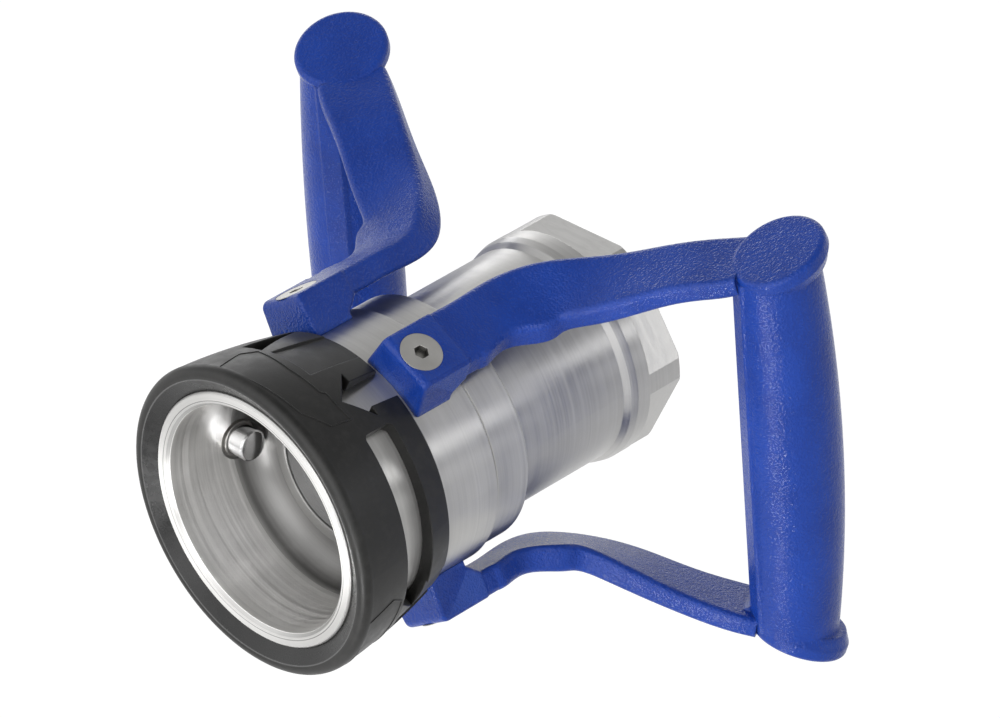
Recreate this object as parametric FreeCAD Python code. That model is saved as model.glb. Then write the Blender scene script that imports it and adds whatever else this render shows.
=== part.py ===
import FreeCAD, Part
import math
import os

from FreeCAD import Vector

os.makedirs("parts", exist_ok=True)

# Frame: Y runs along the coupling axis, from the mouth at 0 towards the hose.
# Z is up, along the grips, and X is to the right, from one grip to the other.
# All sizes are in millimetres and all angles in degrees, from +Z towards +X.

# Cup, the open front of the body
cup_bore_r = 53.0
mouth_rim = 6.5
mouth_lead_in = 1.8
mouth_edge = 0.9
cup_depth = 51.0
cup_corner_r = 13.0

# Body, one turned piece behind the cup
body_front_length = 88.0
body_chamfer = 1.7
cup_floor_thickness = 7.0
guide_bore_r = 40.0
spigot_r = 50.0
spigot_length = 18.0
seal_nose_step = 4.3
seal_nose_length = 14.0
cage_shoulder = 1.6
cage_seat_length = 16.0

# Rubber bumper round the mouth
bumper_front_overhang = 3.0
bumper_front_wall = 12.3
bumper_lip_width = 5.4
bumper_rear_y = 56.0
bumper_rear_wall = 3.3
bumper_edge = 1.5
bumper_widest_y = 2.5
bumper_straightness = 0.45
bumper_seat_inset = 0.6
bumper_fit = 0.1
bumper_rib_y = 9.0
bumper_rib_width = 4.0
bumper_rib_height = 1.5

# Arrow cut-outs and sunk lands in the bumper, the same at three places
third = 120.0
arrow_angle = 29.0
arrow_tip_y = 26.8
arrow_head_y = 38.3
arrow_head_half = 12.3
arrow_shaft_half = 7.3
land_start = -6.5
land_sweep = 20.0
land_depth = 0.6

# Windows in the bumper that show the body's marking field, and one small pocket
window_turns = [0.0, third]
window_front_y = 24.5
window_rear_y = 42.0
window_start = 43.6
window_sweep = 70.0
window_run_out = 17.5
window_corner = 3.0
pocket_angle = -16.0
pocket_width = 13.5
pocket_rear_y = 53.5
pocket_floor_rise = 2.0
pocket_splay = 2.0

# Rollers in the cup wall, the same at three places
roller_angle = 30.0
roller_y = 40.5
roller_r = 7.2
roller_reach = 10.2
roller_cap = 1.6
roller_chamfer = 0.7
roller_play = 0.3
roller_pocket_r = 9.4
stud_journal_r = 4.5
stud_flange_r = 8.2
stud_flange_height = 1.4
stud_seat_depth = 0.8
stud_depth = 4.4
stud_fit = 0.05
snap_wire_r = 0.4
snap_inset = 1.8

# Sliding sleeve that closes the flow
sleeve_nose_r = 36.0
sleeve_lip_y = 47.2
sleeve_seat_r = 30.4
sleeve_seat_length = 6.5
sleeve_bore_r = 33.0
sleeve_collar_length = 14.0
sleeve_travel = 14.0
slide_fit = 0.08
stop_gap = 0.3
sleeve_edge = 0.5

# Fixed valve disc, its stem and the cage that carries it
disc_r = 30.0
disc_recess = 0.6
disc_thickness = 8.0
disc_edge = 0.5
disc_boss_r = 13.0
disc_boss_length = 5.0
stem_r = 7.0
stem_end_r = 5.9
stem_fit = 0.1
hub_r = 12.0
hub_length = 14.0
hub_front_offset = 5.0
arm_width = 7.0
arm_depth = 8.0
cage_rim_r = 34.0
cage_rim_length = 6.0
nut_across_flats = 18.0
nut_height = 9.0
nut_crown = 1.2
stem_thread_show = 1.5
circlip_thickness = 1.4
circlip_depth = 1.2
circlip_width = 2.6
circlip_gap = 14.0
circlip_lug_r = 2.2
circlip_hole_r = 1.0
circlip_fit = 0.15

# Return spring
spring_coils = 4.0
spring_slack = 1.3
spring_seat_gap = 0.2

# Round seals, given by the radius of their section
seal_fit = 0.05
nose_seal_r = 1.15
collar_seal_r = 1.2
disc_seal_r = 1.3
swivel_seal_r = 1.3
seal_groove_play = 0.3

# Ball bearing of the swivel
ball_r = 3.5
ball_count = 36
ball_play = 0.05
ball_row_inset = 6.3
ball_row_pitch = 7.3
swivel_gap = 0.3
swivel_seal_inset = 4.4
plug_r = 4.0
plug_inset = 0.3
plug_socket = 4.0
plug_socket_depth = 2.2
wiper_width = 2.0
wiper_depth = 2.2

# Hose tail, one turned and milled piece
skirt_wall = 7.3
skirt_chamfer = 1.6
skirt_length = 20.0
neck_wall = 4.9
neck_foot = 3.0
neck_end_y = 171.0
tail_step = 1.8
tail_end_step = 2.7
tail_cone_y = 174.0
tail_flange_y = 177.5
tail_end_y = 203.5
hex_length = 18.9
hex_across_flats = 96.8
tail_edge = 0.8
flow_front_step = 0.4
flow_rear_r = 39.0
thread_bore_r = 42.463
thread_start_y = 174.0
thread_relief_r = 44.2
thread_relief_length = 4.0
thread_chamfer = 1.2
gasket_thickness = 2.5
gasket_inner_r = 39.5

# Handles, two one-piece castings that mirror each other
pad_angle = 30.0
pad_rise = 17.7
pad_lip = 0.2
pad_gap = 2.0
pad_length = 28.0
pad_shoulder_r = 3.6
pad_rear_slope = 7.0
pad_draft = 2.4
strap_width = 27.8
strap_offset = 0.5
strap_fold_width = 26.6
strap_fold_offset = -0.4
strap_thickness = 11.5
strap_fold_thickness = 12.0
strap_end_thickness = 8.8
strap_fold_flare = 4.5
strap_end_flare = 1.5
strap_corner = 2.6
strap_straight_end_y = 107.0

# Edges of the strap's outer face after the pad, the hose side and then the mouth side,
# with what the strap is thicker by at its hose side
strap_edges = [
    (Vector(27.6, 124.5, 73.4), Vector(55.6, 119.0, 62.2), 0.0),
    (Vector(36.5, 139.0, 76.5), Vector(60.0, 127.0, 63.9), 2.8),
    (Vector(50.0, 151.6, 78.6), Vector(66.4, 132.4, 66.9), 2.0),
    (Vector(74.0, 168.0, 84.8), Vector(89.0, 145.0, 77.4), 0.2),
    (Vector(98.0, 183.4, 91.8), Vector(113.0, 158.4, 86.6), 0.0),
    (Vector(112.0, 192.0, 94.6), Vector(127.0, 167.0, 90.2), 0.0),
]

# Grips and their end caps
grip_x = 133.2
grip_y = 187.0
grip_length = 176.0
grip_end_r = 18.6
grip_middle_r = 21.1
grip_bow = 2.7
grip_bow_turn = 58.0
grip_rib_turn = 24.0
grip_rib_width = 12.0
grip_rib_reach = 19.2
gusset_r = 8.0
gusset_width = 16.0
cap_height = 98.2
cap_lean_x = 0.15
cap_lean_y = 0.38
cap_r = 21.3
cap_thickness = 5.5
cap_flare = 5.0
cap_corner = 2.4

# Countersunk screws of the handles
screw_inset = 10.5
screw_head_r = 9.5
screw_head_depth = 5.0
screw_shank_r = 4.95
screw_grip = 12.5
screw_fit = 0.05
screw_socket = 6.0
screw_socket_depth = 3.5
screw_land = 0.4
screw_sink = 0.1
screw_bottom_room = 1.0

# Sizes that follow
body_r = cup_bore_r + mouth_rim
bumper_front_r = body_r + bumper_front_wall
bumper_lip_r = bumper_front_r - bumper_lip_width
bumper_rear_r = body_r + bumper_rear_wall
floor_rear_y = cup_depth + cup_floor_thickness
seal_nose_r = spigot_r - seal_nose_step
cage_bore_r = guide_bore_r + cage_shoulder
spigot_end_y = body_front_length + spigot_length
nose_end_y = spigot_end_y + seal_nose_length
cage_front_y = nose_end_y - cage_seat_length
nose_bore_r = sleeve_nose_r + slide_fit
collar_r = guide_bore_r - slide_fit
collar_front_y = floor_rear_y + stop_gap
collar_rear_y = collar_front_y + sleeve_collar_length
race_r = spigot_r + swivel_gap / 2
row_ys = [body_front_length + ball_row_inset, body_front_length + ball_row_inset + ball_row_pitch]
tail_front_y = body_front_length + swivel_gap
skirt_end_y = body_front_length + skirt_length
skirt_r = spigot_r + swivel_gap + skirt_wall
neck_r = seal_nose_r + neck_wall
tail_step_r = neck_r + tail_step
tail_end_r = neck_r + tail_end_step
flow_front_r = cage_bore_r + flow_front_step
far_side = 180.0
pad_face = body_r + pad_rise
pad_front_y = bumper_rear_y + pad_gap
screw_y = pad_front_y + screw_inset


def outward(angle):
    return Vector(math.sin(math.radians(angle)), 0, math.cos(math.radians(angle)))


def sideways(angle):
    return Vector(math.cos(math.radians(angle)), 0, -math.sin(math.radians(angle)))


def along(y):
    return Vector(0, y, 0)


def turned(*profile):
    """Solid of revolution about Y. A corner is (y, r), and (y, r, ym, rm) ends an arc through (ym, rm)."""
    spots = [Vector(corner[1], corner[0], 0) for corner in profile]
    edges = []
    for number, corner in enumerate(profile):
        start = spots[number - 1]
        if len(corner) == 4:
            middle = Vector(corner[3], corner[2], 0)
            edges.append(Part.Arc(start, middle, spots[number]).toShape())
        else:
            edges.append(Part.LineSegment(start, spots[number]).toShape())
    face = Part.Face(Part.Wire(edges))
    return face.revolve(Vector(0, 0, 0), Vector(0, 1, 0), 360)


def tube(y_low, y_high, r_low, r_high):
    return turned((y_low, r_low), (y_high, r_low), (y_high, r_high), (y_low, r_high))


def torus(y, centre_r, section_r):
    return Part.makeTorus(centre_r, section_r, along(y), Vector(0, 1, 0))


def radial_rod(angle, y, r, inner, outer):
    aim = outward(angle)
    return Part.makeCylinder(r, outer - inner, along(y) + aim * inner, aim)


def radial_cone(angle, y, inner, inner_r, outer, outer_r):
    aim = outward(angle)
    return Part.makeCone(inner_r, outer_r, outer - inner, along(y) + aim * inner, aim)


def hexagon(centre, aim, start, across_flats, height):
    """Hexagonal prism along aim, with one corner towards start."""
    other = aim.cross(start)
    corner_r = across_flats / math.sqrt(3)
    corners = []
    for number in range(7):
        turn = math.radians(60 * number)
        corners.append(centre + start * (corner_r * math.cos(turn)) + other * (corner_r * math.sin(turn)))
    return Part.Face(Part.makePolygon(corners)).extrude(aim * height)


def mirrored(shape):
    return shape.mirror(Vector(0, 0, 0), Vector(1, 0, 0))


def save(shape, node):
    shape.exportStep("parts/" + node + ".step")


def roller_angles():
    return [roller_angle + third * number for number in range(3)]


def pad_angles():
    return [pad_angle, 180 - pad_angle, 180 + pad_angle, 360 - pad_angle]


# Body

def body_blank():
    corner_tilt = cup_corner_r * math.sqrt(0.5)
    corner_y = cup_depth - cup_corner_r
    corner_r = cup_bore_r - cup_corner_r
    return turned(
        (0, cup_bore_r + mouth_lead_in),
        (0, body_r - mouth_edge),
        (mouth_edge, body_r),
        (body_front_length - body_chamfer * 0.8, body_r),
        (body_front_length, body_r - body_chamfer),
        (body_front_length, spigot_r),
        (spigot_end_y, spigot_r),
        (spigot_end_y, seal_nose_r),
        (nose_end_y, seal_nose_r),
        (nose_end_y, cage_bore_r),
        (cage_front_y, cage_bore_r),
        (cage_front_y, guide_bore_r),
        (floor_rear_y, guide_bore_r),
        (floor_rear_y, nose_bore_r),
        (cup_depth, nose_bore_r),
        (cup_depth, corner_r),
        (corner_y, cup_bore_r, corner_y + corner_tilt, corner_r + corner_tilt),
        (mouth_lead_in, cup_bore_r),
    )


def make_body():
    body = body_blank()
    rib_play = 2 * bumper_fit
    body = body.cut(tube(bumper_rib_y - rib_play, bumper_rib_y + bumper_rib_width + rib_play,
                         body_r - bumper_rib_height - rib_play, body_r + 1))
    body = body.cut(nose_seal_room())
    for y in row_ys:
        body = body.cut(torus(y, race_r, ball_r + ball_play))
    body = body.cut(swivel_seal_room())
    body = body.cut(tube(circlip_y() - circlip_fit, circlip_y() + circlip_thickness + circlip_fit,
                         guide_bore_r, cage_bore_r + circlip_depth + circlip_fit))
    for angle in roller_angles():
        body = body.cut(radial_rod(angle, roller_y, roller_pocket_r,
                                   sleeve_nose_r + roller_r, cup_bore_r + stud_seat_depth))
        body = body.cut(radial_rod(angle, roller_y, stud_journal_r,
                                   cup_bore_r, cup_bore_r + stud_seat_depth + stud_depth))
    for angle in pad_angles():
        body = body.cut(radial_rod(angle, screw_y, screw_shank_r + screw_fit,
                                   body_r - screw_grip - screw_bottom_room, body_r + 1))
    return body


# Bumper

def bumper_outer_r(y):
    share = (y - bumper_widest_y) / (bumper_rear_y - bumper_widest_y)
    bent = bumper_straightness * share + (1 - bumper_straightness) * share * share
    return bumper_front_r - (bumper_front_r - bumper_rear_r) * bent


def bumper_blank():
    inner_r = body_r + bumper_fit
    nose_y = -bumper_front_overhang
    edge_y = bumper_rear_y - bumper_edge
    middle_y = bumper_rear_y * 0.5
    return turned(
        (mouth_edge + bumper_seat_inset, inner_r),
        (nose_y + 0.4, bumper_lip_r),
        (bumper_widest_y, bumper_front_r, nose_y + 0.9, bumper_front_r - 1.7),
        (edge_y, bumper_outer_r(edge_y), middle_y, bumper_outer_r(middle_y)),
        (bumper_rear_y, bumper_rear_r - bumper_edge),
        (bumper_rear_y, inner_r),
        (bumper_rib_y + bumper_rib_width, inner_r),
        (bumper_rib_y + bumper_rib_width, body_r - bumper_rib_height),
        (bumper_rib_y, body_r - bumper_rib_height),
        (bumper_rib_y, inner_r),
    )


def sector(start, sweep, y_low, y_high, deep_r, beyond_r):
    aim = outward(start)
    corners = [(y_low, deep_r), (y_low, beyond_r), (y_high, beyond_r), (y_high, deep_r), (y_low, deep_r)]
    face = Part.Face(Part.makePolygon([along(y) + aim * r for y, r in corners]))
    return face.revolve(Vector(0, 0, 0), Vector(0, 1, 0), sweep)


def radial_prism(angle, corners, deep_r):
    """Prism that points outward at angle. A corner is (sideways distance, y)."""
    outline = [sideways(angle) * across + along(y) + outward(angle) * deep_r for across, y in corners]
    return Part.Face(Part.makePolygon(outline + outline[:1])).extrude(outward(angle) * bumper_front_r / 3)


def window_cut(turn):
    """Opening with a rounded end, and an oblique run-out at the other."""
    start = window_start + turn
    opening = sector(start, window_sweep, window_front_y, window_rear_y, body_r - 1, bumper_front_r + 2)
    rounded = []
    for edge in opening.Edges:
        at_start = abs(edge.CenterOfMass.dot(sideways(start))) < 0.01
        if at_start and edge.BoundBox.YLength < 0.01 and edge.Length > 2:
            rounded.append(edge)
    opening = opening.makeFillet(window_corner, rounded)
    aim = start + window_sweep + window_run_out / 2
    half = bumper_rear_r * math.tan(math.radians(window_run_out / 2))
    corners = [(-half - 1, window_front_y), (half, window_rear_y), (-half - 1, window_rear_y)]
    return opening.fuse(radial_prism(aim, corners, body_r - 4))


def pocket_cut():
    half = pocket_width / 2
    corners = [
        (half, window_front_y),
        (-half, window_front_y),
        (-half - pocket_splay, pocket_rear_y),
        (-half, pocket_rear_y),
    ]
    return radial_prism(pocket_angle, corners, body_r + pocket_floor_rise)


def arrow_cut(angle):
    corners = [
        (0, arrow_tip_y),
        (arrow_head_half, arrow_head_y),
        (arrow_shaft_half, arrow_head_y),
        (arrow_shaft_half, bumper_rear_y + 1),
        (-arrow_shaft_half, bumper_rear_y + 1),
        (-arrow_shaft_half, arrow_head_y),
        (-arrow_head_half, arrow_head_y),
    ]
    return radial_prism(angle, corners, body_r - 4)


def land_cut(turn):
    """Shallow recess that follows the bumper's outside."""
    front_y = window_front_y + 1
    rear_y = bumper_rear_y + 1
    start = land_start + turn
    aim = outward(start)
    corners = [
        (front_y, bumper_outer_r(front_y) - land_depth),
        (rear_y, bumper_outer_r(rear_y) - land_depth),
        (rear_y, bumper_front_r + 2),
        (front_y, bumper_front_r + 2),
    ]
    outline = [along(y) + aim * r for y, r in corners]
    face = Part.Face(Part.makePolygon(outline + outline[:1]))
    return face.revolve(Vector(0, 0, 0), Vector(0, 1, 0), land_sweep)


def make_bumper():
    bumper = bumper_blank()
    for number in range(3):
        bumper = bumper.cut(land_cut(third * number))
        bumper = bumper.cut(arrow_cut(arrow_angle + third * number))
    for turn in window_turns:
        bumper = bumper.cut(window_cut(turn))
    return bumper.cut(pocket_cut())


# Rollers

def make_roller_stud(angle):
    seat = cup_bore_r + stud_seat_depth
    flange_top = cup_bore_r - stud_flange_height
    stud = radial_rod(angle, roller_y, stud_flange_r, flange_top, seat)
    stud = stud.fuse(radial_rod(angle, roller_y, stud_journal_r, journal_end(), seat + stud_depth))
    return stud.cut(snap_ring(angle, stud_fit))


def journal_end():
    return cup_bore_r - roller_reach + roller_cap + roller_play


def make_roller(angle):
    tip = cup_bore_r - roller_reach
    base = cup_bore_r - stud_flange_height - roller_play
    roller = radial_rod(angle, roller_y, roller_r, tip + roller_chamfer, base)
    nose_r = roller_r - roller_chamfer
    roller = roller.fuse(radial_cone(angle, roller_y, tip, nose_r, tip + roller_chamfer, roller_r))
    roller = roller.removeSplitter()
    roller = roller.cut(radial_rod(angle, roller_y, stud_journal_r + stud_fit, tip + roller_cap, base + 1))
    return roller.cut(snap_ring(angle, 2 * stud_fit))


def snap_ring(angle, room):
    aim = outward(angle)
    centre = along(roller_y) + aim * (journal_end() + snap_inset)
    return Part.makeTorus(stud_journal_r, snap_wire_r + room, centre, aim)


# Sliding sleeve and its seals

def nose_seal_y():
    return floor_rear_y - cup_floor_thickness / 2


def nose_seal_room():
    half = nose_seal_r + seal_groove_play
    bottom_r = sleeve_nose_r + 2 * nose_seal_r + 2 * seal_fit
    return tube(nose_seal_y() - half, nose_seal_y() + half, nose_bore_r - 1, bottom_r)


def collar_seal_y():
    return collar_front_y + sleeve_collar_length / 2


def make_sleeve():
    seat_end_y = sleeve_lip_y + sleeve_seat_length
    opening = sleeve_bore_r - sleeve_seat_r
    sleeve = turned(
        (sleeve_lip_y, sleeve_seat_r + sleeve_edge),
        (sleeve_lip_y, sleeve_nose_r - sleeve_edge),
        (sleeve_lip_y + sleeve_edge, sleeve_nose_r),
        (collar_front_y, sleeve_nose_r),
        (collar_front_y, collar_r),
        (collar_rear_y, collar_r),
        (collar_rear_y, sleeve_bore_r),
        (seat_end_y + opening, sleeve_bore_r),
        (seat_end_y, sleeve_seat_r),
        (sleeve_lip_y + sleeve_edge, sleeve_seat_r),
    )
    half = collar_seal_r + seal_groove_play
    groove = tube(collar_seal_y() - half, collar_seal_y() + half,
                  guide_bore_r - 2 * collar_seal_r - 2 * seal_fit, guide_bore_r + 1)
    return sleeve.cut(groove)


def disc_front_y():
    return sleeve_lip_y + disc_recess


def disc_seal_y():
    return disc_front_y() + disc_thickness / 2


def hub_front_y():
    return cage_front_y - hub_front_offset


def hub_rear_y():
    return hub_front_y() + hub_length


def make_valve_disc():
    rear_y = disc_front_y() + disc_thickness
    end_y = hub_rear_y() + nut_height + stem_thread_show
    disc = turned(
        (disc_front_y(), 0),
        (disc_front_y(), disc_r - disc_edge),
        (disc_front_y() + disc_edge, disc_r),
        (rear_y - disc_edge, disc_r),
        (rear_y, disc_r - disc_edge),
        (rear_y, disc_boss_r),
        (rear_y + disc_boss_length, stem_r),
        (hub_front_y(), stem_r),
        (hub_front_y(), stem_end_r),
        (end_y - 1, stem_end_r),
        (end_y, stem_end_r - 1),
        (end_y, 0),
    )
    half = disc_seal_r + seal_groove_play
    groove = tube(disc_seal_y() - half, disc_seal_y() + half,
                  sleeve_seat_r - 2 * disc_seal_r - 2 * seal_fit, sleeve_seat_r)
    return disc.cut(groove)


# Cage

def circlip_y():
    return cage_front_y + cage_rim_length + circlip_fit


def make_cage():
    rim_outer_r = cage_bore_r - stem_fit
    cage = tube(cage_front_y, cage_front_y + cage_rim_length, cage_rim_r, rim_outer_r)
    cage = cage.fuse(tube(hub_front_y(), hub_rear_y(), stem_end_r + stem_fit, hub_r))
    middle_r = (cage_rim_r + rim_outer_r) / 2
    arm_y = cage_front_y + cage_rim_length - arm_depth
    for angle in roller_angles():
        arm = Part.makeBox(arm_width, arm_depth, middle_r - hub_r + 2)
        arm.rotate(Vector(0, 0, 0), Vector(0, 1, 0), angle)
        arm.translate(outward(angle) * (hub_r - 2) + along(arm_y) - sideways(angle) * (arm_width / 2))
        inside = tube(arm_y - 1, arm_y + arm_depth + 1, hub_r - 3, cage_rim_r + 0.5)
        cage = cage.fuse(arm.common(inside))
    return cage.removeSplitter()


def make_circlip():
    inner_r = cage_bore_r + circlip_depth - circlip_width
    ring = tube(circlip_y(), circlip_y() + circlip_thickness, inner_r, cage_bore_r + circlip_depth)
    gap = Part.makeBox(circlip_gap, 3 * circlip_thickness, 2 * cage_bore_r)
    gap.translate(Vector(-circlip_gap / 2, circlip_y() - circlip_thickness, 0))
    ring = ring.cut(gap)
    for side in (-1, 1):
        lug_x = side * (circlip_gap / 2 + circlip_lug_r * 0.75)
        lug_z = math.sqrt(inner_r * inner_r - lug_x * lug_x) - 0.8
        foot = Vector(lug_x, circlip_y(), lug_z)
        lug = Part.makeCylinder(circlip_lug_r, circlip_thickness, foot, Vector(0, 1, 0))
        hole = Part.makeCylinder(circlip_hole_r, circlip_thickness, foot, Vector(0, 1, 0))
        ring = ring.fuse(lug).cut(hole)
    return ring.removeSplitter()


def make_stem_nut():
    nut = hexagon(along(hub_rear_y()), Vector(0, 1, 0), Vector(0, 0, 1), nut_across_flats, nut_height)
    bore = Part.makeCylinder(stem_end_r + stem_fit, nut_height, along(hub_rear_y()), Vector(0, 1, 0))
    corner_r = nut_across_flats / math.sqrt(3)
    round_off = turned(
        (hub_rear_y(), 0),
        (hub_rear_y(), corner_r),
        (hub_rear_y() + nut_height - nut_crown, corner_r),
        (hub_rear_y() + nut_height, nut_across_flats / 2 - 0.3),
        (hub_rear_y() + nut_height, 0),
    )
    return nut.common(round_off).cut(bore)


def make_spring():
    seat_y = collar_rear_y + spring_seat_gap
    length = cage_front_y - spring_seat_gap - seat_y
    wire_r = (length - sleeve_travel - spring_slack) / (2 * (spring_coils + 1))
    coil_r = (guide_bore_r + sleeve_bore_r) / 2
    rise = length - 2 * wire_r
    helix = Part.makeLongHelix(rise / spring_coils, rise, coil_r)
    helix.rotate(Vector(0, 0, 0), Vector(1, 0, 0), -90)
    helix.translate(along(seat_y + wire_r))
    edge = helix.Edges[0]
    start = edge.valueAt(edge.FirstParameter)
    aim = edge.tangentAt(edge.FirstParameter)
    section = Part.Wire(Part.makeCircle(wire_r, start, aim))
    return Part.Wire(helix.Edges).makePipeShell([section], True, True)


# Swivel

def make_balls(y):
    balls = []
    for number in range(ball_count):
        spot = outward(360 * number / ball_count) * race_r + along(y)
        balls.append(Part.makeSphere(ball_r, spot))
    return Part.makeCompound(balls)


def make_plugs():
    plugs = []
    inner = race_r + ball_r + ball_play
    for y in row_ys:
        plug = radial_rod(far_side, y, plug_r - stud_fit, inner, skirt_r - plug_inset)
        socket_base = along(y) + outward(far_side) * (skirt_r - plug_inset - plug_socket_depth)
        socket = hexagon(socket_base, outward(far_side), Vector(0, 1, 0), plug_socket, plug_socket_depth + 1)
        plugs.append(plug.cut(socket))
    return Part.makeCompound(plugs)


def swivel_seal_y():
    return nose_end_y - swivel_seal_inset


def swivel_seal_room():
    half = swivel_seal_r + seal_groove_play
    bottom_r = tail_seal_bore_r() - 2 * swivel_seal_r - 2 * seal_fit
    return tube(swivel_seal_y() - half, swivel_seal_y() + half, bottom_r, seal_nose_r + 1)


def tail_seal_bore_r():
    return seal_nose_r + slide_fit


def make_wiper():
    y = tail_front_y + swivel_gap
    return tube(y, y + wiper_width, spigot_r + slide_fit, spigot_r + swivel_gap + wiper_depth)


def wiper_room():
    bottom_r = spigot_r + swivel_gap + wiper_depth
    return tube(tail_front_y - 1, tail_front_y + swivel_gap + wiper_width, spigot_r, bottom_r)


# Hose tail

def tail_blank():
    gasket_seat_y = thread_start_y - thread_relief_length
    nose_room_y = nose_end_y + 1
    return turned(
        (tail_front_y, spigot_r + swivel_gap),
        (tail_front_y, skirt_r - 0.6),
        (tail_front_y + 0.6, skirt_r),
        (skirt_end_y - skirt_chamfer, skirt_r),
        (skirt_end_y, skirt_r - skirt_chamfer),
        (skirt_end_y, neck_r + neck_foot),
        (skirt_end_y + neck_foot, neck_r, skirt_end_y + neck_foot * 0.293, neck_r + neck_foot * 0.293),
        (neck_end_y, neck_r),
        (tail_cone_y, tail_step_r),
        (tail_flange_y, tail_end_r),
        (tail_end_y - tail_edge, tail_end_r),
        (tail_end_y, tail_end_r - tail_edge),
        (tail_end_y, thread_bore_r + thread_chamfer),
        (tail_end_y - thread_chamfer, thread_bore_r),
        (thread_start_y, thread_bore_r),
        (thread_start_y, thread_relief_r),
        (gasket_seat_y, thread_relief_r),
        (gasket_seat_y, flow_rear_r),
        (nose_room_y, flow_front_r),
        (nose_room_y, tail_seal_bore_r()),
        (spigot_end_y + swivel_gap, tail_seal_bore_r()),
        (spigot_end_y + swivel_gap, spigot_r + swivel_gap),
    )


def make_tail():
    tail = tail_blank()
    flats_y = tail_end_y - hex_length
    reach = hex_length + 1
    ring = Part.makeCylinder(2 * tail_end_r, reach, along(flats_y), Vector(0, 1, 0))
    prism = hexagon(along(flats_y), Vector(0, 1, 0), outward(30), hex_across_flats, reach)
    tail = tail.cut(ring.cut(prism))
    for y in row_ys:
        tail = tail.cut(torus(y, race_r, ball_r + ball_play))
        tail = tail.cut(radial_rod(far_side, y, plug_r, race_r, skirt_r + 1))
    return tail.cut(wiper_room())


def make_gasket():
    y = thread_start_y - thread_relief_length
    return tube(y, y + gasket_thickness, gasket_inner_r, thread_relief_r - 2 * seal_fit)


# Handles

def rounded_outline(corners, cut):
    """Closed wire through flat corners, each replaced by an arc that starts cut before it."""
    edges = []
    ends = []
    for number, corner in enumerate(corners):
        back = (corners[number - 1] - corner).normalize()
        on = (corners[(number + 1) % len(corners)] - corner).normalize()
        start = corner + back * cut
        end = corner + on * cut
        half_angle = back.getAngle(on) / 2
        middle = corner + ((start + end) / 2 - corner) / (1 + math.sin(half_angle))
        edges.append(Part.Arc(start, middle, end).toShape())
        ends.append((start, end))
    for number in range(len(corners)):
        edges.append(Part.LineSegment(ends[number - 1][1], ends[number][0]).toShape())
    return Part.Wire(Part.sortEdges(edges)[0])


def strap_section(inner, outer, ahead, thickness, swell, inner_flare, outer_flare):
    """Rounded section under the line from inner to outer, wider by the flares at its two feet."""
    across = outer - inner
    half = across.Length / 2 + strap_corner * (1 - math.sqrt(0.5))
    across.normalize()
    normal = across.cross(ahead).normalize()
    centre = (inner + outer) / 2
    corners = [
        centre - across * half,
        centre + across * half,
        centre + across * (half + outer_flare) - normal * thickness,
        centre - across * (half + inner_flare) - normal * (thickness + swell),
    ]
    return rounded_outline(corners, strap_corner)


def make_strap():
    """Straight stretch from the pad, then a loft through the fold and up the arm."""
    draft = pad_draft * strap_thickness / pad_rise
    face = outward(pad_angle) * (pad_face - pad_lip)

    def straight_section(y, width, offset):
        middle = face + along(y) + sideways(pad_angle) * offset
        half = sideways(pad_angle) * (width / 2 - strap_corner * (1 - math.sqrt(0.5)))
        return strap_section(middle - half, middle + half, along(1), strap_thickness, 0, draft, draft)

    start_y = pad_front_y + pad_length / 2
    loft_y = pad_front_y + pad_length + strap_thickness / 2
    start_section = straight_section(start_y, strap_width, strap_offset)
    straight = Part.Face(start_section).extrude(along(loft_y - start_y))
    sections = [
        straight_section(loft_y, strap_width, strap_offset),
        straight_section((loft_y + strap_straight_end_y) / 2, strap_width, strap_offset),
        straight_section(strap_straight_end_y, strap_fold_width, strap_fold_offset),
    ]
    centres = [face + along(strap_straight_end_y)]
    centres.extend((inner + outer) / 2 for inner, outer, swell in strap_edges)
    for number, (inner, outer, swell) in enumerate(strap_edges):
        ahead = centres[min(number + 2, len(strap_edges))] - centres[number]
        share = number / (len(strap_edges) - 1)
        thickness = strap_fold_thickness + (strap_end_thickness - strap_fold_thickness) * share
        flare = strap_fold_flare + (strap_end_flare - strap_fold_flare) * share
        sections.append(strap_section(inner, outer, ahead, thickness, swell, flare, draft * (1 - share)))
    return straight.fuse(Part.makeLoft(sections, True, False))


def pad_outline(side):
    """Side outline of the pad, on its right side for 1 and its left side for -1."""
    pad_out = outward(pad_angle)
    side_way = sideways(pad_angle) * side
    low = body_r * 0.8
    tuck = pad_shoulder_r * (1 - math.sqrt(0.5))
    rear_y = pad_front_y + pad_length
    under = pad_face - pad_lip - strap_thickness

    def spot(y, reach):
        spread = strap_width / 2 + pad_lip + pad_draft * (pad_face - reach) / pad_rise
        return along(y) + pad_out * reach + side_way * spread + sideways(pad_angle) * strap_offset

    corners = [
        spot(pad_front_y + pad_shoulder_r, pad_face),
        spot(rear_y, pad_face),
        spot(rear_y, under),
        spot(rear_y - pad_rear_slope, body_r),
        spot(rear_y - pad_rear_slope, low),
        spot(pad_front_y, low),
        spot(pad_front_y, pad_face - pad_shoulder_r),
    ]
    shoulder = Part.Arc(corners[-1], spot(pad_front_y + tuck, pad_face - tuck), corners[0]).toShape()
    return Part.Wire(Part.makePolygon(corners).Edges + [shoulder])


def make_pad():
    pad = Part.makeLoft([pad_outline(-1), pad_outline(1)], True, True)
    pad = pad.makeFillet(strap_corner * 0.7, pad.Edges)
    seat = Part.makeCylinder(body_r + bumper_fit, 2 * body_front_length, Vector(0, 0, 0), Vector(0, 1, 0))
    return pad.cut(seat)


def cap_normal():
    return Vector(-cap_lean_x, -cap_lean_y, 1).normalize()


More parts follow.
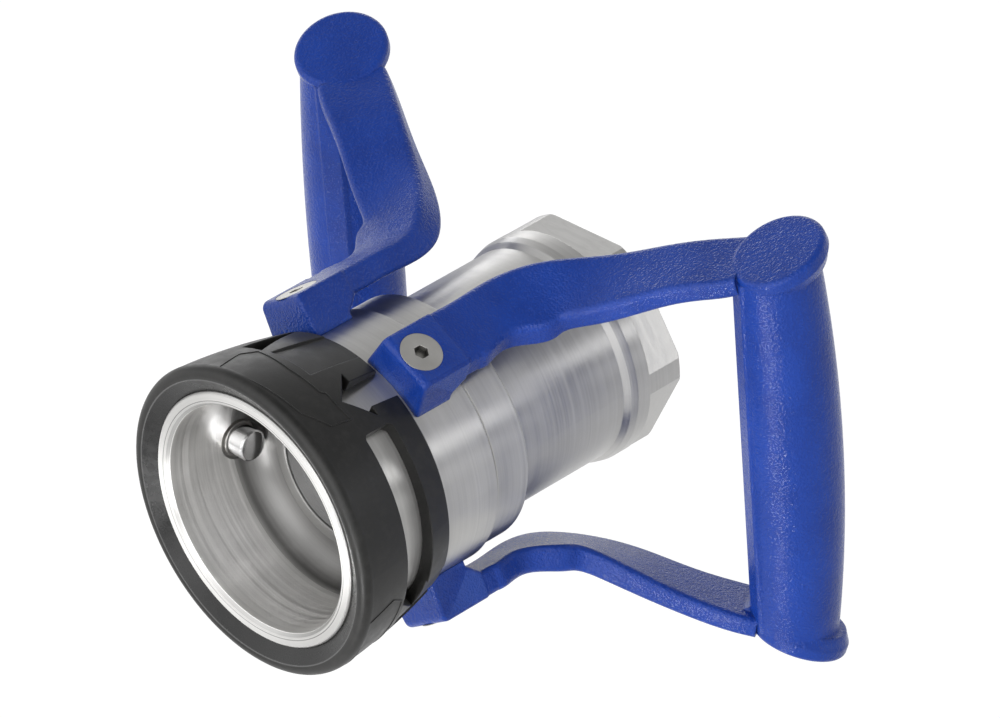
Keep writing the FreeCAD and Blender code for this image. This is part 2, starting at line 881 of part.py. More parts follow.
def make_cap():
    aim = cap_normal()
    top = Vector(grip_x, grip_y, cap_height)
    cap = Part.makeCylinder(cap_r, cap_thickness, top - aim * cap_thickness, aim)
    cap = cap.makeFillet(cap_corner, [edge for edge in cap.Edges if edge.Closed][:1])
    flare = Part.makeCone(grip_end_r, cap_r, cap_flare, top - aim * (cap_thickness + cap_flare), aim)
    return cap.fuse(flare)


def make_grip():
    """Barrel that swells and bows outward at its middle, with a flat rib on its inner side."""
    reach = cap_height + cap_r
    bow_angle = math.radians(grip_bow_turn)
    away = Vector(math.sin(bow_angle), math.cos(bow_angle), 0)
    rings = []
    for step in range(-2, 3):
        height = reach * step / 2
        share = 1 - (2 * height / grip_length) ** 2
        centre = away * (grip_bow * share) + Vector(0, 0, height)
        radius = grip_end_r + (grip_middle_r - grip_end_r) * share
        rings.append(Part.Wire(Part.makeCircle(radius, centre)))
    grip = Part.makeLoft(rings, True, False)
    turn = math.radians(grip_rib_turn)
    inward = Vector(-math.sin(turn), -math.cos(turn), 0)
    side = Vector(inward.y, -inward.x, 0)
    half = grip_rib_width / 2
    corners = [
        side * half + inward * (grip_end_r / 2),
        side * half + inward * (grip_rib_reach - 1.5),
        side * (half - 1.5) + inward * grip_rib_reach,
        side * (1.5 - half) + inward * grip_rib_reach,
        side * -half + inward * (grip_rib_reach - 1.5),
        side * -half + inward * (grip_end_r / 2),
    ]
    rib = Part.Face(Part.makePolygon(corners + corners[:1])).extrude(Vector(0, 0, 2 * reach))
    rib.translate(Vector(0, 0, -reach))
    grip = grip.fuse(rib)
    grip.translate(Vector(grip_x, grip_y, 0))
    return grip


def make_gusset():
    """Web under the strap's end, hollowed to a fillet between the strap and the grip."""
    (inner_0, outer_0), (inner_1, outer_1) = [row[:2] for row in strap_edges[-2:]]
    last = (inner_1 + outer_1) / 2
    ahead = (last - (inner_0 + outer_0) / 2).normalize()
    across = (outer_1 - inner_1).normalize()
    down = across.cross(ahead).normalize() * -1
    axis_spot = Vector(grip_x, grip_y, last.z)
    foot = axis_spot - ahead * grip_end_r
    level = last + down * (strap_end_thickness - strap_corner / 2)
    corner = foot + down * (level - foot).dot(down)
    side = across * (gusset_width / 2)
    depth = gusset_r + strap_corner / 2
    outline = [
        corner - ahead * gusset_r - side,
        corner + ahead * (grip_end_r / 2) - side,
        corner + ahead * (grip_end_r / 2) + down * depth - side,
        corner - ahead * gusset_r + down * depth - side,
    ]
    web = Part.Face(Part.makePolygon(outline + outline[:1])).extrude(side * 2)
    hollow_centre = corner - ahead * gusset_r + down * depth - side * 2
    return web.cut(Part.makeCylinder(gusset_r, 2 * gusset_width, hollow_centre, across))


def below_cap(shape):
    """Trim a shape to what lies under the cap's middle plane."""
    aim = cap_normal()
    middle = Vector(grip_x, grip_y, cap_height) - aim * (cap_thickness / 2)
    reach = 2 * cap_height
    plane = Part.makePlane(reach, reach, middle, aim)
    plane.translate(middle - plane.CenterOfMass)
    return shape.cut(plane.extrude(aim * reach))


def turned_over(shape):
    return shape.mirror(Vector(0, 0, 0), Vector(0, 0, 1))


def make_handle():
    grip = below_cap(make_grip())
    grip = turned_over(below_cap(turned_over(grip)))
    upper = make_strap().fuse(make_pad()).fuse(make_cap()).fuse(make_gusset())
    hole = radial_rod(pad_angle, screw_y, screw_shank_r + screw_fit, body_r - 1, pad_face + 1)
    sink = screw_head(pad_angle, screw_fit, 1)
    upper = upper.cut(hole).cut(sink)
    return grip.fuse(upper).fuse(turned_over(upper))


def screw_head(angle, room, above):
    """Countersunk head, larger by room at its side and by above at its top."""
    base = pad_face - screw_head_depth
    rim = pad_face - screw_land
    cone = radial_cone(angle, screw_y, base, screw_shank_r + room, rim, screw_head_r + room)
    return cone.fuse(radial_rod(angle, screw_y, screw_head_r + room, rim, pad_face + above))


def make_screw(angle):
    head_base = pad_face - screw_head_depth
    screw = radial_rod(angle, screw_y, screw_shank_r, body_r - screw_grip, head_base)
    screw = screw.fuse(screw_head(angle, 0, -screw_sink))
    socket_base = along(screw_y) + outward(angle) * (pad_face - screw_socket_depth)
    socket = hexagon(socket_base, outward(angle), Vector(0, 1, 0), screw_socket, screw_socket_depth + 1)
    return screw.cut(socket)


save(make_body(), "body")
save(make_bumper(), "bumper_ring")
for number, angle in enumerate(roller_angles(), 1):
    save(make_roller(angle), "roller_" + str(number))
    save(make_roller_stud(angle), "roller_stud_" + str(number))
save(Part.makeCompound([snap_ring(angle, 0) for angle in roller_angles()]), "roller_clips")
save(make_sleeve(), "sleeve")
save(torus(nose_seal_y(), sleeve_nose_r + nose_seal_r + seal_fit, nose_seal_r), "nose_seal")
save(torus(collar_seal_y(), guide_bore_r - collar_seal_r - seal_fit, collar_seal_r), "collar_seal")
save(make_valve_disc(), "valve_disc")
save(torus(disc_seal_y(), sleeve_seat_r - disc_seal_r - seal_fit, disc_seal_r), "disc_seal")
save(make_cage(), "cage")
save(make_circlip(), "cage_circlip")
save(make_stem_nut(), "stem_nut")
save(make_spring(), "return_spring")
save(make_balls(row_ys[0]), "front_balls")
save(make_balls(row_ys[1]), "rear_balls")
save(make_plugs(), "ball_plugs")
save(torus(swivel_seal_y(), tail_seal_bore_r() - swivel_seal_r - seal_fit, swivel_seal_r), "swivel_seal")
save(make_wiper(), "swivel_wiper")
save(make_tail(), "hose_tail")
save(make_gasket(), "hose_gasket")
handle = make_handle()
save(handle, "handle_right")
save(mirrored(handle), "handle_left")
save(Part.makeCompound([make_screw(angle) for angle in pad_angles()]), "handle_screws")
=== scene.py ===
import math

import bmesh
import bpy
from mathutils import Matrix, Vector


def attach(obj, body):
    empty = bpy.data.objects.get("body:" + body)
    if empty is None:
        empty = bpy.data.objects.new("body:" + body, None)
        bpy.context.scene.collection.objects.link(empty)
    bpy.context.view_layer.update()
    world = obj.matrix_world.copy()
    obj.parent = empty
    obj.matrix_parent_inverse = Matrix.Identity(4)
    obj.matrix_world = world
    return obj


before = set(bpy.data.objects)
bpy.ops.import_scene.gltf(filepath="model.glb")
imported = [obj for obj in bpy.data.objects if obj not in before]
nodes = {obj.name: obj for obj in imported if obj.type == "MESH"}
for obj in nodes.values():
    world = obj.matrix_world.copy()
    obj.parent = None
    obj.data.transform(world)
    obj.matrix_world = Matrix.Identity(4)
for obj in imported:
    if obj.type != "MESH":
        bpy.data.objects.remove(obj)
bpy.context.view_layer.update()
MM = 0.001

# The bumper's outside, in millimetres. The mouth is at y 0
BUMPER_FRONT_R = 71.8
BUMPER_LIP_R = 66.4
BUMPER_REAR_R = 62.8
BUMPER_WIDEST_Y = 2.5
BUMPER_REAR_Y = 56.0
BUMPER_STRAIGHTNESS = 0.45
BUMPER_NOSE_CURVE = 0.14

# Zones of the open cup, in metres: the wall, the fillet behind it and the floor within the fillet
CUP_WALL_R = 0.0532
CUP_FILLET_Y = 0.037
CUP_FILLET_BLEND = 0.003
CUP_REAR_Y = 0.0520
CUP_FLOOR_R = 0.0395
CUP_FLOOR_EDGE_R = 0.0415

# The flat ring round the mouth, its turned groove and the bumper's cone in front, in metres
MOUTH_RING_Y = 0.0004
MOUTH_GROOVE_R = 0.0556
MOUTH_GROOVE_HALF_WIDTH = 0.0002
BUMPER_CONE_Y = 0.004

# How much lighter or darker than the plain steel these zones are: painted reflections on the cup wall and the
# mouth ring, painted shade in the fillet, on the floor and in the groove
CUP_WALL_PAINTED_LIGHT = 0.72
CUP_FILLET_PAINTED_SHADE = -0.66
CUP_FLOOR_PAINTED_SHADE = -0.58
MOUTH_RING_PAINTED_LIGHT = 0.48
MOUTH_GROOVE_PAINTED_SHADE = 0.75
MOUTH_RING_ROUGHNESS = 0.20


# Small helpers for node trees

class Tree:
    """Builds a node tree. A helper takes sockets or plain values, and what it returns goes into the next."""

    def __init__(self, holder):
        holder.use_nodes = True
        self.tree = holder.node_tree
        self.tree.nodes.clear()

    def node(self, kind, **settings):
        made = self.tree.nodes.new(kind)
        for key, value in settings.items():
            setattr(made, key, value)
        return made

    def put(self, target, value):
        if isinstance(value, bpy.types.NodeSocket):
            self.tree.links.new(value, target)
        else:
            target.default_value = value

    def math(self, operation, *values):
        made = self.node("ShaderNodeMath", operation=operation)
        for socket, value in zip(made.inputs, values):
            self.put(socket, value)
        return made.outputs[0]

    def plus(self, first, second):
        return self.math("ADD", first, second)

    def minus(self, first, second):
        return self.math("SUBTRACT", first, second)

    def times(self, first, second):
        return self.math("MULTIPLY", first, second)

    def below(self, value, limit):
        """1 where the value is below the limit, else 0."""
        return self.math("LESS_THAN", value, limit)

    def distance(self, value, target):
        return self.math("ABSOLUTE", self.minus(value, target))

    def vector_math(self, operation, *values):
        made = self.node("ShaderNodeVectorMath", operation=operation)
        for socket, value in zip(made.inputs, values):
            self.put(socket, value)
        return made.outputs[0]

    def length(self, vector):
        made = self.node("ShaderNodeVectorMath", operation="LENGTH")
        self.put(made.inputs[0], vector)
        return made.outputs["Value"]

    def combine(self, x, y, z):
        made = self.node("ShaderNodeCombineXYZ")
        for socket, value in zip(made.inputs, (x, y, z)):
            self.put(socket, value)
        return made.outputs[0]

    def separate(self, vector):
        made = self.node("ShaderNodeSeparateXYZ")
        self.put(made.inputs[0], vector)
        return made.outputs

    def scaled(self, base, factor):
        """A colour with its three parts multiplied by one factor."""
        return self.vector_math("MULTIPLY", base, self.combine(factor, factor, factor))

    def place(self):
        """The place on the object, in metres."""
        return self.node("ShaderNodeTexCoord").outputs["Object"]

    def noise(self, vector, scale, detail=2.0, roughness=0.5, w=None):
        made = self.node("ShaderNodeTexNoise", noise_dimensions="4D" if w is not None else "3D")
        self.put(made.inputs["Vector"], vector)
        if w is not None:
            self.put(made.inputs["W"], w)
        made.inputs["Scale"].default_value = scale
        made.inputs["Detail"].default_value = detail
        made.inputs["Roughness"].default_value = roughness
        return made.outputs[0]

    def ranged(self, value, low, high, to_low, to_high):
        """Maps low to high onto to_low to to_high, and stays at the ends beyond them."""
        made = self.node("ShaderNodeMapRange")
        names = ("Value", "From Min", "From Max", "To Min", "To Max")
        for name, item in zip(names, (value, low, high, to_low, to_high)):
            self.put(made.inputs[name], item)
        return made.outputs[0]

    def blend(self, share, first, second):
        """Mixes two colours. The Mix node's colour sockets are its inputs 6 and 7 and its output 2."""
        made = self.node("ShaderNodeMix", data_type="RGBA")
        self.put(made.inputs[0], share)
        self.put(made.inputs[6], first)
        self.put(made.inputs[7], second)
        return made.outputs[2]

    def bump(self, height, strength, distance, normal=None):
        made = self.node("ShaderNodeBump")
        made.inputs["Strength"].default_value = strength
        made.inputs["Distance"].default_value = distance
        self.put(made.inputs["Height"], height)
        if normal is not None:
            self.put(made.inputs["Normal"], normal)
        return made.outputs[0]

    def rounded_edges(self, radius):
        made = self.node("ShaderNodeBevel", samples=6)
        made.inputs["Radius"].default_value = radius
        return made.outputs[0]

    def mirrored(self, rays):
        """1 for rays that come from a reflection or through glass, else 0."""
        return self.math("MAXIMUM", rays["Is Glossy Ray"], rays["Is Transmission Ray"])

    def finish(self, base, roughness, normal, **uniform):
        """One Principled shader. What is the same all over the surface is set on its own sockets."""
        shader = self.node("ShaderNodeBsdfPrincipled")
        self.put(shader.inputs["Base Color"], base)
        self.put(shader.inputs["Roughness"], roughness)
        self.put(shader.inputs["Normal"], normal)
        for key, value in uniform.items():
            self.put(shader.inputs[key.replace("_", " ")], value)
        self.output("ShaderNodeOutputMaterial", shader)

    def output(self, kind, shader):
        self.put(self.node(kind).inputs[0], shader.outputs[0])


def color(red, green, blue):
    """Linear colour from the 0 to 255 values that a screen shows."""
    levels = [value / 255 for value in (red, green, blue)]
    return tuple(((s + 0.055) / 1.055) ** 2.4 if s > 0.04045 else s / 12.92 for s in levels) + (1.0,)


# Materials

def paint_cup_light_and_shade(t, base, y, r):
    """Painted reflection lightens the wall of the open cup; painted shade darkens its fillet and floor."""
    inside = t.below(r, CUP_WALL_R)
    wall = t.times(t.below(y, CUP_FILLET_Y), inside)
    behind_wall = t.ranged(y, CUP_FILLET_Y, CUP_FILLET_Y + CUP_FILLET_BLEND, 0.0, 1.0)
    deep = t.times(t.times(behind_wall, t.below(y, CUP_REAR_Y)), inside)
    floor_zone = t.times(deep, t.ranged(r, CUP_FLOOR_R, CUP_FLOOR_EDGE_R, 1.0, 0.0))
    # The wall gets a painted reflection, the fillet and the floor painted shade
    gain = t.plus(t.times(wall, CUP_WALL_PAINTED_LIGHT), t.times(deep, CUP_FILLET_PAINTED_SHADE))
    gain = t.plus(gain, t.times(floor_zone, CUP_FLOOR_PAINTED_SHADE - CUP_FILLET_PAINTED_SHADE))
    return t.scaled(base, t.plus(1.0, gain))


def paint_mouth_ring_light_and_groove_shade(t, base, front, r):
    """Flat ring round the mouth made paler by a painted reflection, with one fine turned groove drawn dark as
    painted shade.
    """
    groove = t.below(t.distance(r, MOUTH_GROOVE_R), MOUTH_GROOVE_HALF_WIDTH)
    # The groove is drawn as painted shade; the ring's paler tone is a painted reflection
    groove_shade = t.times(t.times(front, groove), MOUTH_GROOVE_PAINTED_SHADE)
    return t.scaled(base, t.minus(t.plus(1.0, t.times(front, MOUTH_RING_PAINTED_LIGHT)), groove_shade))


def turned_steel(name, tint, rough, marks=1.0, anisotropy=0.7, zones=False):
    """Steel turned about the Y axis: fine marks that run round it, and highlights stretched across them.
    With zones, the cup gets a painted reflection on its wall and painted shade in its fillet and floor, and
    the ring round the mouth a painted reflection and a groove of painted shade."""
    material = bpy.data.materials.new(name)
    t = Tree(material)
    place = t.place()
    x, y, z = t.separate(place)
    flat = t.combine(x, 0.0, z)
    r = t.length(flat)
    ax, _, az = t.separate(t.vector_math("NORMALIZE", flat))
    # Marks run round the axis: they change fast with y and with the radius, slowly with the angle
    lines = t.combine(t.times(y, 1000.0), t.times(r, 1000.0), t.times(ax, 0.5))
    turn = t.times(az, 0.5)
    fine = t.noise(lines, 1.2, 1.0, 0.5, turn)
    broad = t.noise(lines, 0.34, 2.0, 0.5, turn)
    cloud = t.noise(place, 38.0, 3.0, 0.6)
    both = t.plus(fine, broad)
    normal = t.bump(both, 0.10 * marks, 0.0002, t.rounded_edges(0.0005))
    shade = t.ranged(both, 0.7, 1.3, 1.0 - 0.10 * marks, 1.0 + 0.05 * marks)
    shade = t.times(shade, t.ranged(cloud, 0.3, 0.7, 0.95, 1.04))
    base = t.scaled(t.combine(*tint), shade)
    roughness = rough
    for pattern, spread in ((fine, 0.16 * marks), (broad, 0.20 * marks), (cloud, 0.10)):
        roughness = t.plus(roughness, t.times(t.minus(pattern, 0.5), spread))
    if zones:
        # Painted reflections and painted shade on the cup and on the mouth ring
        front = t.below(y, MOUTH_RING_Y)
        base = paint_mouth_ring_light_and_groove_shade(t, paint_cup_light_and_shade(t, base, y, r), front, r)
        roughness = t.plus(roughness, t.times(front, MOUTH_RING_ROUGHNESS))
    across = t.node("ShaderNodeVectorTransform", vector_type="VECTOR")
    across.convert_from = "OBJECT"
    across.convert_to = "WORLD"
    t.put(across.inputs[0], t.combine(az, 0.0, t.times(ax, -1.0)))
    t.finish(base, roughness, normal, Metallic=1.0, Anisotropic=anisotropy, Anisotropic_Rotation=0.25,
             Tangent=across.outputs[0])
    return material


def milled_steel(name, tint, rough, scale=900.0, strength=0.25, sockets=False):
    """Steel with a fine even grain, for flats, screws, studs and wire.
    With sockets, narrow recesses are darker with painted shade from an occlusion mask."""
    material = bpy.data.materials.new(name)
    t = Tree(material)
    place = t.place()
    grain = t.noise(place, scale, 3.0, 0.6)
    cloud = t.noise(place, 90.0, 3.0, 0.55)
    normal = t.bump(grain, strength, 0.00008, t.rounded_edges(0.0004))
    shade = t.ranged(cloud, 0.3, 0.7, 0.9, 1.06)
    if sockets:
        # Painted shade in narrow recesses, from an occlusion mask
        painted_recess_shade = t.node("ShaderNodeAmbientOcclusion", samples=8)
        painted_recess_shade.inputs["Distance"].default_value = 0.004
        shade = t.times(shade, t.ranged(painted_recess_shade.outputs["AO"], 0.35, 0.95, 0.10, 1.0))
    roughness = t.ranged(cloud, 0.3, 0.7, rough - 0.05, rough + 0.08)
    t.finish(t.scaled(t.combine(*tint), shade), roughness, normal, Metallic=1.0)
    return material


def blue_powder_coat():
    """Blue powder coat on a rough casting: orange peel, a few lighter specks painted as glints, and edges
    painted paler as highlights.
    The coat on top carries most of the shine and follows the same bumps."""
    material = bpy.data.materials.new("blue_powder_coat")
    t = Tree(material)
    place = t.place()
    peel = t.noise(place, 1050.0, 1.0, 0.5)
    hammer = t.noise(place, 520.0, 2.0, 0.5)
    cast = t.noise(place, 42.0, 3.0, 0.55)
    normal = t.bump(cast, 0.16, 0.0010, t.rounded_edges(0.0016))
    normal = t.bump(t.plus(peel, t.times(hammer, 0.8)), 0.95, 0.00038, normal)
    base = t.blend(t.ranged(cast, 0.3, 0.7, 0.0, 1.0), color(22, 57, 146), color(27, 66, 162))
    # Painted glints: lighter blue specks on the peaks of the peel
    base = t.blend(t.ranged(peel, 0.50, 0.72, 0.0, 0.22), base, color(48, 92, 200))
    # Painted highlights: paler blue along sharp edges
    edge = t.node("ShaderNodeNewGeometry").outputs["Pointiness"]
    base = t.blend(t.ranged(edge, 0.52, 0.60, 0.0, 0.30), base, color(84, 116, 208))
    roughness = t.ranged(peel, 0.35, 0.70, 0.42, 0.18)
    t.finish(base, roughness, normal, Specular_IOR_Level=0.06, Coat_Weight=0.40, Coat_Roughness=0.13,
             Coat_Normal=normal)
    return material


def black_bumper():
    """Moulded black polyurethane: satin, very fine texture, a little scuffing.
    The cone inside the lip is smoother and darker with painted shade, with a thin pale painted highlight at
    its edge."""
    material = bpy.data.materials.new("black_bumper")
    t = Tree(material)
    place = t.place()
    fine = t.noise(place, 1500.0, 2.0, 0.5)
    waves = t.noise(place, 55.0, 3.0, 0.5)
    scuff = t.noise(place, 170.0, 4.0, 0.65)
    normal = t.bump(waves, 0.18, 0.0006, t.rounded_edges(0.0009))
    normal = t.bump(fine, 0.20, 0.00012, normal)
    base = t.blend(t.ranged(scuff, 0.45, 0.75, 0.0, 1.0), color(25, 25, 24), color(42, 41, 40))
    x, y, z = t.separate(place)
    r = t.length(t.combine(x, 0.0, z))
    lip_r = BUMPER_LIP_R * MM
    front = t.below(y, BUMPER_CONE_Y)
    cone = t.times(front, t.below(r, lip_r))
    painted_lip_highlight = t.times(front, t.ranged(t.distance(r, lip_r), 0.0001, 0.0004, 1.0, 0.0))
    # Painted shade darkens the cone; its lower roughness below is real
    base = t.blend(t.times(cone, 0.6), base, color(16, 16, 17))
    # Painted highlight: a thin pale ring at the lip's edge
    base = t.blend(t.times(painted_lip_highlight, 0.5), base, color(120, 120, 120))
    roughness = t.minus(t.ranged(scuff, 0.3, 0.7, 0.36, 0.52), t.times(cone, 0.16))
    t.finish(base, roughness, normal, Specular_IOR_Level=0.36, Sheen_Weight=0.04, Sheen_Roughness=0.4)
    return material


def soft_grain(name, texture, colors, rough, strength):
    """Soft material with a very fine even grain, for the seals and the gasket."""
    material = bpy.data.materials.new(name)
    t = Tree(material)
    grain = t.noise(t.place(), *texture)
    t.finish(t.blend(grain, *colors), t.ranged(grain, 0.3, 0.7, *rough), t.bump(grain, strength, 0.0001))
    return material


stainless = turned_steel("turned_stainless", (0.52, 0.515, 0.505), 0.36, anisotropy=0.85, zones=True)
# The valve disc's steel is made dark as painted shade at the back of the cup
shaded_disc = turned_steel("turned_disc_painted_shade", (0.17, 0.17, 0.172), 0.26, marks=0.8, anisotropy=0.6)
polished = milled_steel("polished_steel", (0.72, 0.72, 0.73), 0.11, scale=1400.0, strength=0.06)
machined = milled_steel("machined_steel", (0.52, 0.51, 0.49), 0.34)
# Screw steel with painted shade in its sockets
screw_steel = milled_steel("machined_screw_steel", (0.52, 0.51, 0.49), 0.34, sockets=True)
spring_steel = milled_steel("spring_steel", (0.42, 0.42, 0.42), 0.3)
blue = blue_powder_coat()
bumper = black_bumper()
rubber = soft_grain("seal_rubber", (1900.0, 2.0, 0.5), [color(18, 18, 19), color(40, 40, 41)],
                    (0.32, 0.5), 0.2)
gasket = soft_grain("pale_gasket", (800.0, 3.0, 0.6), [color(226, 224, 216), color(206, 203, 194)],
                    (0.5, 0.66), 0.15)

MATERIALS = {
    "body": stainless, "hose_tail": stainless, "sleeve": stainless, "cage": stainless,
    "valve_disc": shaded_disc, "bumper_ring": bumper,
    "handle_right": blue, "handle_left": blue, "handle_screws": screw_steel,
    "stem_nut": machined, "ball_plugs": machined, "front_balls": polished, "rear_balls": polished,
    "roller_clips": spring_steel, "cage_circlip": spring_steel, "return_spring": spring_steel,
    "nose_seal": rubber, "collar_seal": rubber, "disc_seal": rubber, "swivel_seal": rubber,
    "swivel_wiper": rubber, "hose_gasket": gasket,
}
for number in "123":
    MATERIALS["roller_" + number] = polished
    MATERIALS["roller_stud_" + number] = machined

for name, node in nodes.items():
    node.data.materials.clear()
    node.data.materials.append(MATERIALS[name])


# Raised outline of an arrow on the bumper's rounded front, the same at three places

# The ridge's section in shares of its half width and in millimetres over the bumper: its feet are sunk
RIDGE_HALF_WIDTH = 0.375
RIDGE_TOP = 0.28
RIDGE_FOOT = -0.15
RIDGE_FLAT = 0.62
RIDGE_SECTION = ((-1.0, RIDGE_FOOT), (-RIDGE_FLAT, RIDGE_TOP), (RIDGE_FLAT, RIDGE_TOP), (1.0, RIDGE_FOOT))
# Step along the outline, in millimetres or degrees
RIDGE_STEP = 1.5

# Corners of the outline: y in millimetres, and the angle from the arrow's own zero in degrees
ARROW_OUTLINE = [
    (-0.6, -10.4), (5.3, 26.1), (13.3, 35.2), (24.2, 36.3), (23.2, 29.5), (23.4, 23.6),
    (21.4, 21.9), (20.6, 7.1), (22.6, -10.4), (16.1, -14.4),
]
ARROWS = 3


def bumper_surface(y):
    """Radius of the bumper's outside at y, in millimetres."""
    if y >= BUMPER_WIDEST_Y:
        share = (y - BUMPER_WIDEST_Y) / (BUMPER_REAR_Y - BUMPER_WIDEST_Y)
        bent = BUMPER_STRAIGHTNESS * share + (1 - BUMPER_STRAIGHTNESS) * share * share
        return BUMPER_FRONT_R - (BUMPER_FRONT_R - BUMPER_REAR_R) * bent
    drop = BUMPER_WIDEST_Y - y
    return BUMPER_FRONT_R - drop * drop * BUMPER_NOSE_CURVE


def on_bumper(y, angle, lift):
    r = bumper_surface(y) + lift
    a = math.radians(angle)
    return Vector((r * math.sin(a), y, r * math.cos(a))) * MM


def outline_points(corners, turn):
    """Points along the closed outline, about a step apart, turned round the axis."""
    points = []
    for number, (y, angle) in enumerate(corners):
        next_y, next_angle = corners[(number + 1) % len(corners)]
        steps = max(2, int(abs(next_angle - angle) / RIDGE_STEP), int(abs(next_y - y) / RIDGE_STEP))
        for step in range(steps):
            share = step / steps
            points.append((y + (next_y - y) * share, angle + (next_angle - angle) * share + turn))
    return points


def raised_outline(name, corners, turn):
    """Closed thin ridge that follows the bumper along the outline."""
    points = outline_points(corners, turn)
    count = len(points)
    degree = math.radians(1) * BUMPER_FRONT_R
    mesh = bmesh.new()
    rings = []
    for number in range(count):
        before, here, after = points[number - 1], points[number], points[(number + 1) % count]
        run = Vector((after[0] - before[0], (after[1] - before[1]) * degree)).normalized()
        side = Vector((-run.y, run.x)) * RIDGE_HALF_WIDTH
        ring = []
        for share, height in RIDGE_SECTION:
            corner = on_bumper(here[0] + side.x * share, here[1] + side.y * share / degree, height)
            ring.append(mesh.verts.new(corner))
        rings.append(ring)
    for number in range(count):
        ring, following = rings[number], rings[(number + 1) % count]
        for k in range(3):
            mesh.faces.new((ring[k], ring[k + 1], following[k + 1], following[k]))
        mesh.faces.new((ring[3], ring[0], following[0], following[3]))
    bmesh.ops.recalc_face_normals(mesh, faces=mesh.faces)
    data = bpy.data.meshes.new(name)
    mesh.to_mesh(data)
    mesh.free()
    piece = bpy.data.objects.new(name, data)
    bpy.context.scene.collection.objects.link(piece)
    data.materials.append(bumper)
    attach(piece, "shell")


for number in range(ARROWS):
    raised_outline("arrow_outline_%d" % (number + 1), ARROW_OUTLINE, 360 / ARROWS * number)


# Floor, studio light and camera

FLOOR_Z = -0.55
FLOOR_R = 3.2
FLOOR_CORNERS = 72
FLOOR_GREY = 0.45
FLOOR_GLOW = 0.70
FLOOR_GLOW_RIGHT = 0.74


def floor_material():
    """Pale floor, white to the camera. In the metal it is white on the left and duller on the right."""
    material = bpy.data.materials.new("pale_floor")
    t = Tree(material)
    rays = t.node("ShaderNodeLightPath").outputs
    x, _, _ = t.separate(t.place())
    mirrored = t.times(t.mirrored(rays), t.ranged(x, -0.12, 0.16, 1.0, FLOOR_GLOW_RIGHT))
    matt = t.node("ShaderNodeBsdfDiffuse")
    matt.inputs["Color"].default_value = (FLOOR_GREY, FLOOR_GREY, FLOOR_GREY, 1)
    glow = t.node("ShaderNodeEmission")
    t.put(glow.inputs["Strength"], t.times(t.math("MAXIMUM", mirrored, rays["Is Camera Ray"]), FLOOR_GLOW))
    both = t.node("ShaderNodeAddShader")
    t.put(both.inputs[0], matt.outputs[0])
    t.put(both.inputs[1], glow.outputs[0])
    t.output("ShaderNodeOutputMaterial", both)
    return material


def stage_floor():
    """A round flat floor under the part."""
    turns = [math.radians(360 * k / FLOOR_CORNERS) for k in range(FLOOR_CORNERS)]
    corners = [(FLOOR_R * math.cos(a), FLOOR_R * math.sin(a), FLOOR_Z) for a in turns]
    data = bpy.data.meshes.new("floor")
    data.from_pydata(corners, [], [tuple(range(FLOOR_CORNERS))])
    made = bpy.data.objects.new("floor", data)
    bpy.context.scene.collection.objects.link(made)
    data.materials.append(floor_material())


stage_floor()

# Levels of the room that shiny surfaces mirror, and of the soft light on matt ones
ROOM_LEFT = 0.80
ROOM_RIGHT = 0.56
ROOM_OVERHEAD = 0.30
FRONT_GLOW = 1.1
SOFT_LEAST = 0.34
SOFT_FRONT = 0.80


def studio_world():
    """White to the camera. To metal it is a pale room: lighter on the left, darker overhead, a glow in front.
    Its soft light falls mostly from the front."""
    world = bpy.data.worlds.new("studio")
    bpy.context.scene.world = world
    t = Tree(world)
    rays = t.node("ShaderNodeLightPath").outputs
    x, y, up = t.separate(t.vector_math("NORMALIZE", t.node("ShaderNodeTexCoord").outputs["Generated"]))
    room = t.ranged(x, -0.75, 0.25, ROOM_LEFT, ROOM_RIGHT)
    room = t.math("MINIMUM", room, t.ranged(up, 0.60, 0.95, ROOM_LEFT, ROOM_OVERHEAD))
    glow = t.times(t.ranged(y, -0.60, -0.20, FRONT_GLOW, 0.0), t.ranged(up, -0.2, 0.1, 0.0, 1.0))
    room = t.plus(room, glow)
    facing = t.minus(t.times(x, 0.20), t.times(y, 0.97))
    soft = t.math("MAXIMUM", SOFT_LEAST, t.plus(SOFT_LEAST, t.times(facing, SOFT_FRONT)))
    diffuse = rays["Is Diffuse Ray"]
    level = t.plus(t.times(soft, diffuse), t.times(room, t.minus(1.0, diffuse)))
    white = t.math("MAXIMUM", rays["Is Camera Ray"], t.times(t.mirrored(rays), t.below(up, 0.0)))
    sky = t.node("ShaderNodeBackground")
    sky.inputs["Color"].default_value = (1, 1, 1, 1)
    t.put(sky.inputs["Strength"], t.math("MAXIMUM", white, level))
    t.output("ShaderNodeOutputWorld", sky)


studio_world()

# Where the lamps point, in metres
COUPLING_MIDDLE = (0.02, 0.1, 0.0)
RIGHT_GRIP = (0.133, 0.187, 0.0)


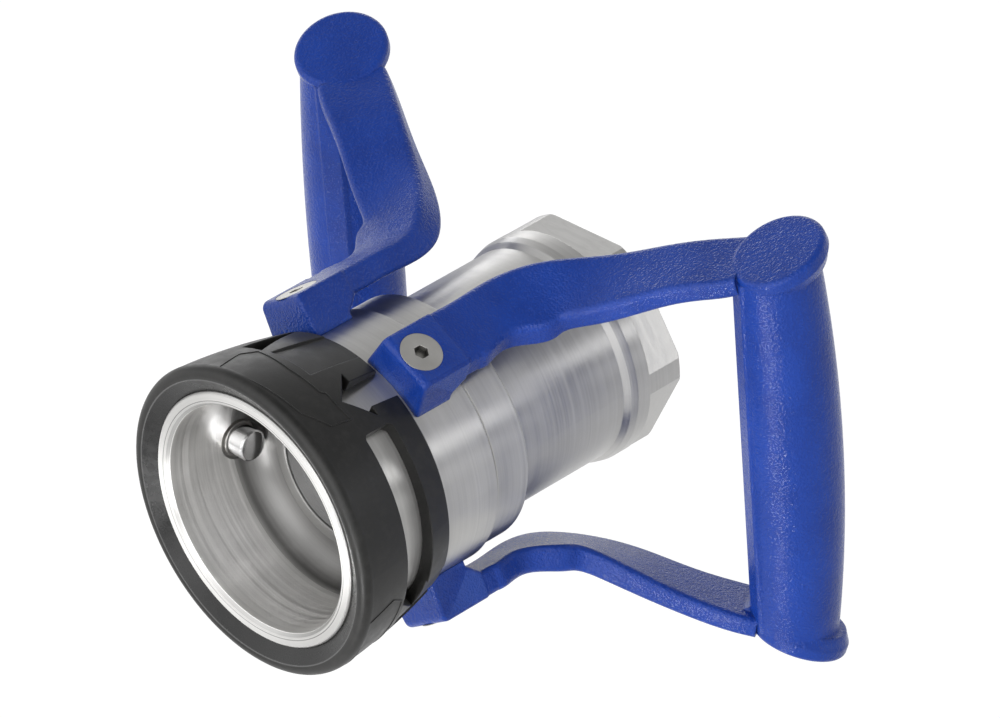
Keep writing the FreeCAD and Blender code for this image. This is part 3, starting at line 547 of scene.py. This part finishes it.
def softbox(name, direction, distance, width, height, power, aim=COUPLING_MIDDLE):
    """Area light on a line from aim, given by the direction in which it stands."""
    data = bpy.data.lights.new(name, "AREA")
    data.shape = "RECTANGLE"
    data.size = width
    data.size_y = height
    data.energy = power
    made = bpy.data.objects.new(name, data)
    bpy.context.scene.collection.objects.link(made)
    way = Vector(direction).normalized()
    made.location = Vector(aim) + way * distance
    made.rotation_mode = "QUATERNION"
    made.rotation_quaternion = way.to_track_quat("Z", "Y")
    made.visible_camera = False


softbox("back_right_strip", (0.77, 0.57, 0.28), 1.6, 1.6, 0.30, 2.6)
softbox("back_left_strip", (-0.80, 0.57, 0.20), 1.6, 1.6, 0.30, 4.2)
softbox("front_key", (0.30, -0.92, 0.24), 2.1, 1.8, 1.5, 12)
softbox("low_front_strip", (0.10, -0.83, -0.52), 1.0, 0.10, 0.7, 6.5, aim=RIGHT_GRIP)

# The camera, solved from the photograph: its axes, the part's origin along them in metres, the focal length
CAMERA_RIGHT = Vector((0.69718, 0.71408, -0.06347))
CAMERA_DOWN = Vector((0.34078, -0.40800, -0.84700))
CAMERA_AHEAD = Vector((-0.63072, 0.56889, -0.52779))
ORIGIN_RIGHT = -0.10444
ORIGIN_DOWN = 0.06837
ORIGIN_AHEAD = 3.51600
FOCAL_PIXELS = 8343.586
PHOTO_WIDTH = 1000

lens = bpy.data.cameras.new("camera")
lens.sensor_width = 36.0
lens.lens = FOCAL_PIXELS * lens.sensor_width / PHOTO_WIDTH
lens.clip_start = 0.1
lens.clip_end = 50.0
camera = bpy.data.objects.new("camera", lens)
bpy.context.scene.collection.objects.link(camera)
place = -(CAMERA_RIGHT * ORIGIN_RIGHT + CAMERA_DOWN * ORIGIN_DOWN + CAMERA_AHEAD * ORIGIN_AHEAD)
turn = Matrix((CAMERA_RIGHT, -CAMERA_DOWN, -CAMERA_AHEAD)).transposed()
camera.matrix_world = Matrix.Translation(place) @ turn.to_4x4()
bpy.context.scene.camera = camera

bpy.context.scene.view_settings.view_transform = "Standard"
